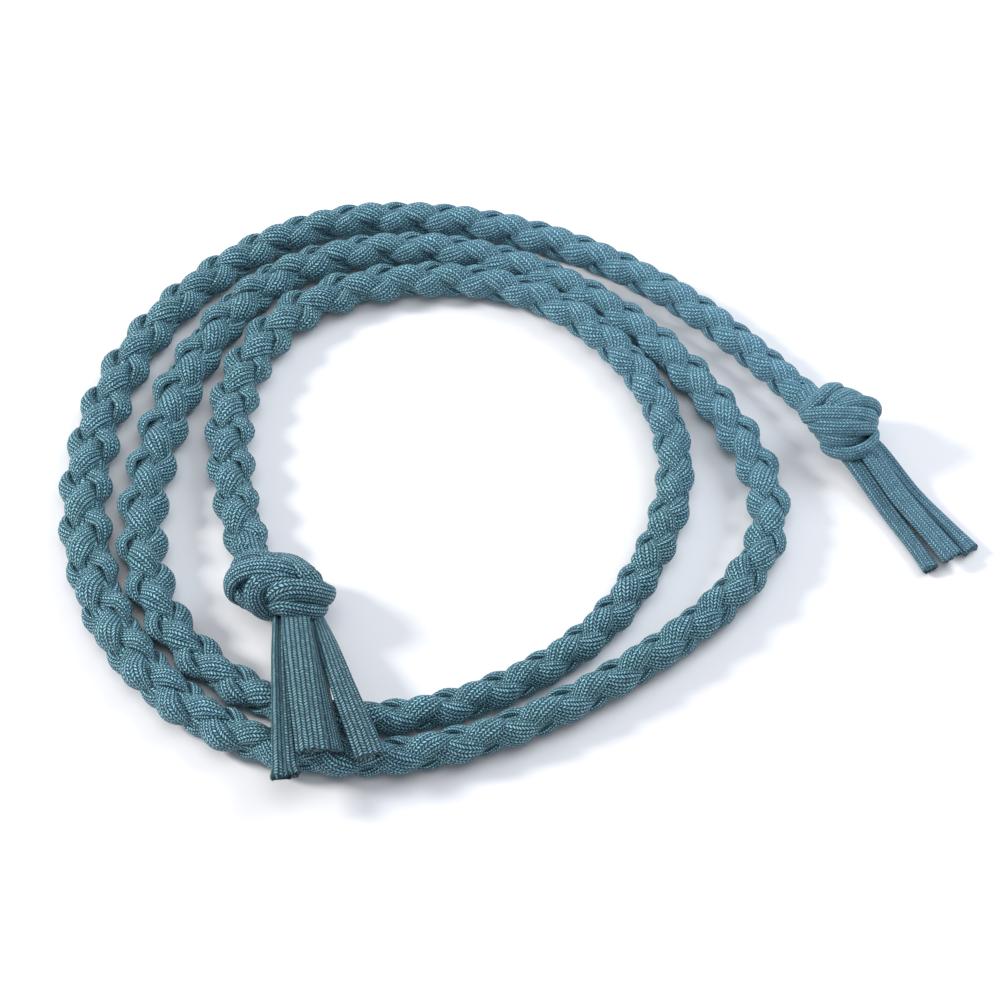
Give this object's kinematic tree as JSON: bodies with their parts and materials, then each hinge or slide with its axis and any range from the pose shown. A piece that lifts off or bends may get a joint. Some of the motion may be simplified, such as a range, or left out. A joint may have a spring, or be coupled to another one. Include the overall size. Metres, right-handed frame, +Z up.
{
  "type": "braided cord",
  "caption": "Round-braided cord of flat woven sleeves with a stopper knot and a tassel at each end, laid in a loose flat spiral, for tying, hanging or lacing.",
  "frame": {"origin": "on the surface the cord lies on, under the middle of the whole object's box", "axes": "+Z up from that surface, +X across the spiral towards the outer tassel, +Y away from the inner tassel"},
  "size_m": [0.1787, 0.1477, 0.0125],
  "materials": {
    "sleeve_braid": "braided nylon sleeve, soft sheen",
    "sleeve_knot": "braided nylon sleeve, soft sheen",
    "sleeve_tail": "braided nylon sleeve, soft sheen"
  },
  "bodies": {
    "root": {"braid": "sleeve_braid", "inner_knot": "sleeve_knot", "inner_tail_1": "sleeve_tail", "inner_tail_2": "sleeve_tail", "inner_tail_3": "sleeve_tail", "inner_tail_4": "sleeve_tail", "outer_knot": "sleeve_knot", "outer_tail_1": "sleeve_tail", "outer_tail_2": "sleeve_tail", "outer_tail_3": "sleeve_tail", "outer_tail_4": "sleeve_tail"}
  },
  "joints": []
}
